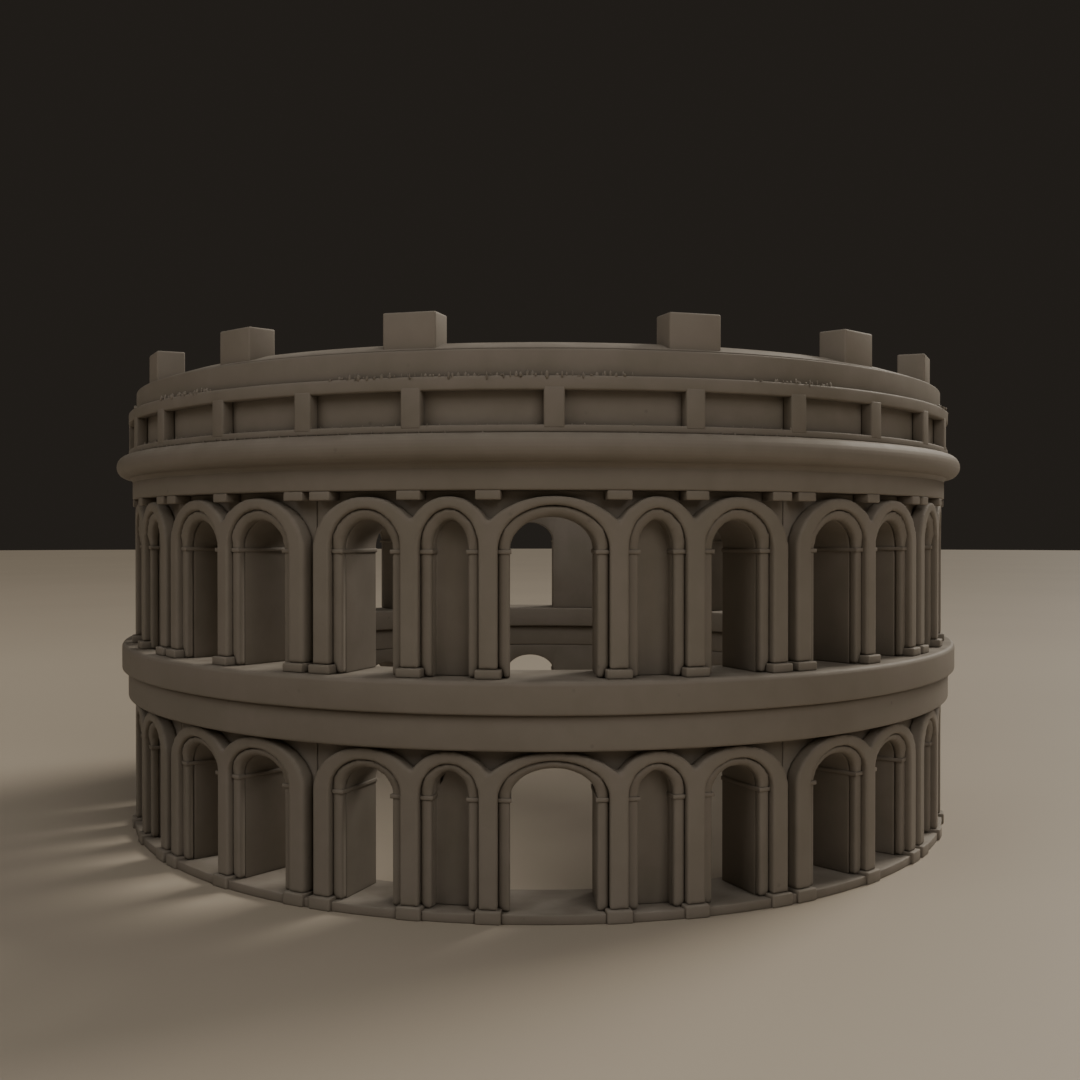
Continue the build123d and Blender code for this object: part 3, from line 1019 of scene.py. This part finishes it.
@dataclass
class Flecks:
    """Tiny crumbs of resin left along a ledge, with seeded places and sizes."""

    name: str
    oval: Oval
    offset: float
    height: float
    slot: str
    finish: Resin
    count: int = 760
    radius: float = 0.23 * MM
    seed: int = 3
    patch_scale: float = 62.0
    bare_below: float = 0.5
    least_drift: Place = (-1.2, -1.2, -0.3)
    most_drift: Place = (1.0, 1.0, 0.5)
    least_size: Place = (0.25, 0.25, 0.3)
    most_size: Place = (1.1, 1.1, 2.3)

    def tree(self) -> tuple[bpy.types.NodeTree, NamedInputs]:
        """Build the tree that drops crumbs along a line where a noise field is high.

        Returns:
            The tree, and the identifier of each named input.
        """
        made = Tree.group(f"{self.name}_scatter", "GeometryNodeTree")
        made.socket("Line", "Geometry")
        names = {
            "Count": made.socket("Count", "Int", self.count),
            "Radius": made.socket("Radius", "Float", self.radius),
            "Seed": made.socket("Seed", "Int", self.seed),
            "Finish": made.socket("Finish", "Material"),
        }
        made.socket("Mesh", "Geometry", output=True)
        given = made.node("NodeGroupInput").outputs
        path = made.node("GeometryNodeMeshToCurve", None, Mesh=given["Line"])
        spots = made.node(
            "GeometryNodeCurveToPoints", {"mode": "COUNT"}, Curve=path.outputs[0],
            Count=given["Count"],
        )
        place = made.node("GeometryNodeInputPosition").outputs[0]
        field = made.noise(place, self.patch_scale, 2.0)
        clear = made.maths("LESS_THAN", field.outputs["Fac"], self.bare_below)
        kept = made.node(
            "GeometryNodeDeleteGeometry", {"domain": "POINT"}, Geometry=spots.outputs[0],
            Selection=clear,
        )
        random = {"data_type": "FLOAT_VECTOR"}
        drift = made.node(
            "FunctionNodeRandomValue", random, i0=self.least_drift, i1=self.most_drift,
            Seed=given["Seed"],
        )
        moved = made.shifted(kept.outputs[0], drift.outputs[0], given["Radius"])
        size = made.node(
            "FunctionNodeRandomValue", random, i0=self.least_size, i1=self.most_size,
            Seed=made.maths("ADD", given["Seed"], 1.0),
        )
        crumb = made.node(
            "GeometryNodeMeshIcoSphere", None, Radius=given["Radius"], Subdivisions=1
        )
        placed = made.node(
            "GeometryNodeInstanceOnPoints", None, Points=moved, Instance=crumb.outputs[0],
            Scale=size.outputs[0],
        )
        made.finished(placed.outputs[0], given["Finish"])
        return made.tree, names

    def build(self) -> bpy.types.Object:
        """Scatter the crumbs, settle them as one plain mesh and dress them.

        Returns:
            The finished crumbs.
        """
        host = line_object("line", self.oval.points(self.offset, self.height))
        modifier = host.modifiers.new("scatter", "NODES")
        modifier.node_group, names = self.tree()
        modifier[names["Count"]] = self.count
        modifier[names["Radius"]] = self.radius
        modifier[names["Seed"]] = self.seed
        modifier[names["Finish"]] = self.finish.material()
        piece = settle(host, [], self.name)
        return dress(piece, self.finish, self.slot)


# ---- sub-assemblies


@dataclass
class Storey:
    """One arcaded storey: its walls, arch frames, orders, imposts and pier feet."""

    name: str
    oval: Oval
    sections: tuple[str, ...] = ("end", "flank", "quarter", "gate")
    impost_edge: float = 0.04 * MM
    order_facet: float = 0.26

    def walls(self) -> list[bpy.types.Object]:
        """Build the wall castings."""
        nodes = [f"{self.name}_{section}_walls" for section in self.sections]
        return [Casting(node, "wall_resin", WALL).build() for node in nodes]

    def frames(self) -> list[str]:
        """Return the names of the arch frame nodes."""
        return [f"{self.name}_{section}_arcades" for section in self.sections]

    def orders(self) -> list[bpy.types.Object]:
        """Build the inner orders, with splayed heads above the springing.

        Returns:
            The finished orders.
        """
        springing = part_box(f"{self.name}_imposts")[1].z
        found = []
        for kind in ("inner_orders", "niche_orders"):
            orders = SplayedOrders(
                f"{self.name}_{kind}", "order_resin", ORDER, oval=self.oval,
                frames=tuple(self.frames()), springing=springing, facet=self.order_facet,
            )
            found.append(orders.build())
        return found

    def build(self) -> list[bpy.types.Object]:
        """Build the storey from its walls outwards.

        Returns:
            The storey's pieces.
        """
        made = self.walls() + self.orders()
        made += [SoftCasting(node, "arcade_resin", ARCADE).build() for node in self.frames()]
        imposts = Casting(f"{self.name}_imposts", "moulding_resin", MOULDING, self.impost_edge)
        made.append(imposts.build())
        made.append(BlockSet(f"{self.name}_pier_feet", self.oval, "foot_resin", FOOT).build())
        return made


@dataclass
class Belt:
    """The base slab and the courses between the storeys."""

    oval: Oval
    wall_inner: float = -9.0 * MM
    ledge_inner: float = -10.2 * MM
    slab_edge: float = 0.1 * MM
    fascia_edge: float = 0.3 * MM
    floor_edge: float = 0.25 * MM

    def build(self) -> list[bpy.types.Object]:
        """Build the slab, the string course and the rounded floor.

        Returns:
            The belt's pieces.
        """
        slab = Casting("base_slab", "course_resin", COURSE, self.slab_edge)
        fascia = Course(
            "lower_fascia", self.oval, Section.SQUARE, self.wall_inner,
            edge_radius=self.fascia_edge,
        )
        floor = Course(
            "upper_floor", self.oval, Section.ROUNDED_TOP, self.ledge_inner,
            edge_radius=self.floor_edge,
        )
        return [slab.build(), fascia.build(), floor.build()]


@dataclass
class Crown:
    """Everything above the upper arcade, from the brackets to the merlons."""

    oval: Oval
    wall_inner: float = -9.0 * MM
    panel_face: float = -0.95 * MM
    crest_face: float = -4.1 * MM
    bracket_edge: float = 0.14 * MM
    post_edge: float = 0.16 * MM
    merlon_edge: float = 0.2 * MM
    merlon_lift: float = 0.05 * MM
    merlon_lean: float = 0.8
    post_lean: float = 0.1
    post_reach: float = 0.35 * MM
    post_proud: float = 0.02 * MM

    def courses(self) -> list[Course]:
        """List the rings of the crown from the bottom up.

        Returns:
            The rings, not yet built.
        """
        lead = [
            ("entablature", Section.SQUARE, 0.2, 0.45),
            ("cove", Section.HOLLOW_FLARE, 0.08, 0.2),
            ("cornice", Section.HALF_ROUND, 0.3, 0.0),
        ]
        attic = [
            ("attic_wall", Section.SQUARE, 0.1, self.wall_inner),
            ("attic_base_rail", Section.SQUARE, 0.14, self.panel_face),
            ("attic_top_rail", Section.SQUARE, 0.22, self.panel_face),
            ("parapet", Section.SQUARE, 0.15, self.wall_inner),
            ("coping", Section.WEATHERED, 0.18, self.wall_inner),
        ]
        found = [
            Course(
                node, self.oval, section, self.wall_inner, edge_radius=edge * MM,
                overlap=overlap * MM,
            )
            for node, section, edge, overlap in lead
        ]
        for node, section, edge, inner in attic:
            found.append(Course(
                node, self.oval, section, inner, slot="attic_resin", finish=ATTIC,
                edge_radius=edge * MM, crest=self.crest_face,
            ))
        return found

    def blocks(self) -> list[BlockSet]:
        """List the brackets, the attic posts and the merlons.

        Returns:
            The sets, not yet built.
        """
        oval = self.oval
        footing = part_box("parapet")[1].z + self.merlon_lift
        return [
            BlockSet("brackets", oval, "moulding_resin", MOULDING, self.bracket_edge),
            BlockSet(
                "attic_posts", oval, "attic_resin", ATTIC, self.post_edge,
                lean=self.post_lean, reach=self.post_reach, proud=self.post_proud,
            ),
            BlockSet(
                "merlons", oval, "merlon_resin", MERLON, self.merlon_edge, footing,
                lean=self.merlon_lean,
            ),
        ]

    def flecks(self) -> list[Flecks]:
        """List the crumbs along the attic ledge, the sill and the cornice.

        Returns:
            The rows of crumbs, not yet built.
        """
        oval = self.oval
        ledge, sill, cornice = (
            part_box(node)[1] for node in ("attic_top_rail", "attic_base_rail", "cornice")
        )
        face = ledge.x - oval.half_width
        return [
            Flecks("ledge_flecks", oval, face - 0.22 * MM, ledge.z, "attic_resin", ATTIC),
            Flecks(
                "sill_flecks", oval, face - 0.2 * MM, sill.z, "attic_resin", ATTIC,
                count=320, radius=0.13 * MM, seed=11,
            ),
            Flecks(
                "cornice_flecks", oval, face + 0.15 * MM, cornice.z, "course_resin", COURSE,
                count=300, radius=0.12 * MM, seed=19,
            ),
        ]

    def build(self) -> list[bpy.types.Object]:
        """Build the crown's pieces and return them."""
        return [part.build() for part in (*self.courses(), *self.blocks(), *self.flecks())]


@dataclass
class Fixings:
    """The hidden dowels, which stay as the CAD has them."""

    nodes: tuple[str, ...] = ("slab_dowels", "fascia_dowels", "floor_dowels", "entablature_dowels")

    def build(self) -> list[bpy.types.Object]:
        """Give each dowel node its finish.

        Returns:
            The dowel nodes.
        """
        found = []
        for name in self.nodes:
            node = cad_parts[name]
            if not node.data.materials:
                node.data.materials.append(None)
            for place in node.material_slots:
                place.material = DOWEL.material()
            LOG.info("%s: carried over", name)
            found.append(node)
        return found


# ---- studio


@dataclass
class Studio:
    """Pale floor, soft lights and the camera.

    The camera's angles are in degrees: side is how far left of the end gate it stands, aim how far
    it looks to the right of straight ahead, and dip how far it looks down.
    """

    floor_reach: float = 2.6
    floor_sides: int = 180
    floor_tone: Colour = (0.50, 0.44, 0.36)
    floor_shade: float = 0.94
    floor_cloud_scale: float = 7.0
    floor_roughness: float = 0.55
    camera_distance: float = 207.1 * MM
    camera_height: float = 41.6 * MM
    camera_side: float = 1.44
    camera_aim: float = 1.54
    camera_dip: float = 0.473
    focal_length: float = 44.13
    sun_power: float = 1.95
    sun_spread: float = 24.0
    sun_from: Place = (0.62, 0.55, 0.60)
    sun_tone: Colour = (1.0, 0.93, 0.82)
    fill_tone: Colour = (1.0, 0.95, 0.88)
    top_tone: Colour = (1.0, 0.94, 0.86)
    surround_tone: Colour = (0.020, 0.017, 0.014)
    lit_height: float = 30 * MM
    sensor_width: float = 36.0
    near_clip: float = 5 * MM

    def floor(self) -> bpy.types.Object:
        """Lay the round floor, with a soft broad change of tone.

        Returns:
            The floor.
        """
        mesh = bpy.data.meshes.new("studio_floor")
        reach = self.floor_reach
        turns = [2 * math.pi * step / self.floor_sides for step in range(self.floor_sides)]
        rim = [(reach * math.cos(turn), reach * math.sin(turn), 0.0) for turn in turns]
        mesh.from_pydata(rim, [], [tuple(range(self.floor_sides))])
        made = new_object("studio_floor", mesh)
        material = bpy.data.materials.new("floor_finish")
        material.use_nodes = True
        nodes = Tree(material.node_tree)
        shader = nodes.tree.nodes["Principled BSDF"]
        vector = nodes.node("ShaderNodeTexCoord").outputs["Object"]
        cloud = nodes.noise(vector, self.floor_cloud_scale, 3.0)
        darker = [self.floor_shade * part for part in self.floor_tone]
        share = nodes.ramp(cloud.outputs["Fac"], 0.3, 0.7)
        tone = nodes.mix(share, (*self.floor_tone, 1), (*darker, 1))
        nodes.tree.links.new(tone, shader.inputs["Base Color"])
        shader.inputs["Roughness"].default_value = self.floor_roughness
        mesh.materials.append(material)
        return made

    def lamp(
        self, name: str, place: Place, size: float, power: float, tone: Colour
    ) -> bpy.types.Object:
        """Hang one square soft light that points at the middle of the model.

        Args:
            name: Name of the light.
            place: Where it hangs.
            size: Side of the square.
            power: Output in watts.
            tone: Colour of the light.

        Returns:
            The light's object.
        """
        data = bpy.data.lights.new(name, "AREA")
        data.shape = "SQUARE"
        data.size = size
        data.energy = power
        data.color = tone
        made = new_object(name, data)
        away = Vector(place) - Vector((0, 0, self.lit_height))
        turned = away.to_track_quat("Z", "Y").to_matrix().to_4x4()
        made.matrix_world = Matrix.Translation(Vector(place)) @ turned
        return made

    def sun(self) -> bpy.types.Object:
        """Set one broad, distant light high behind the model on its right.

        Returns:
            The light's object.
        """
        data = bpy.data.lights.new("high_light", "SUN")
        data.energy = self.sun_power
        data.angle = math.radians(self.sun_spread)
        data.color = self.sun_tone
        made = new_object("high_light", data)
        made.rotation_euler = Vector(self.sun_from).to_track_quat("Z", "Y").to_euler()
        return made

    def lights(self) -> None:
        """Set the soft lights and a dim even surround."""
        self.sun()
        self.lamp("left_softbox", (-0.55, -0.42, 0.50), 0.50, 1.2, self.fill_tone)
        self.lamp("front_softbox", (0.28, -0.62, 0.46), 0.45, 1.35, self.fill_tone)
        self.lamp("top_softbox", (0.10, 0.10, 0.80), 0.70, 1.0, self.top_tone)
        world = bpy.data.worlds.new("surround")
        world.use_nodes = True
        background = world.node_tree.nodes["Background"]
        background.inputs["Color"].default_value = (*self.surround_tone, 1)
        background.inputs["Strength"].default_value = 1.0
        bpy.context.scene.world = world

    def camera(self) -> bpy.types.Object:
        """Stand the camera in front of the end gate, a little to its left.

        Returns:
            The camera's object.
        """
        data = bpy.data.cameras.new("camera")
        data.lens = self.focal_length
        data.sensor_width = self.sensor_width
        data.clip_start = self.near_clip
        made = new_object("camera", data)
        side = math.radians(self.camera_side)
        reach = self.camera_distance
        made.location = (-reach * math.sin(side), -reach * math.cos(side), self.camera_height)
        tilt, aim = math.radians(90 - self.camera_dip), math.radians(-self.camera_aim)
        made.rotation_euler = (tilt, 0, aim)
        bpy.context.scene.camera = made
        return made

    def build(self) -> None:
        """Build the floor, lights and camera."""
        self.floor()
        self.lights()
        self.camera()


def main() -> None:
    """Build every sub-assembly in order, then note the sizes."""
    logging.basicConfig(level=logging.INFO, format="%(message)s")
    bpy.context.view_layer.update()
    oval = Oval.from_frame()
    made = []
    lower, upper = Storey("lower", oval), Storey("upper", oval)
    for assembly in (lower, Belt(oval), upper, Crown(oval), Fixings()):
        pieces = assembly.build()
        LOG.info("%s: %d pieces", type(assembly).__name__, len(pieces))
        made += pieces
    Studio().build()
    bpy.context.view_layer.update()
    LOG.info("pieces in all: %d", len(made))


if __name__ == "__main__":
    main()
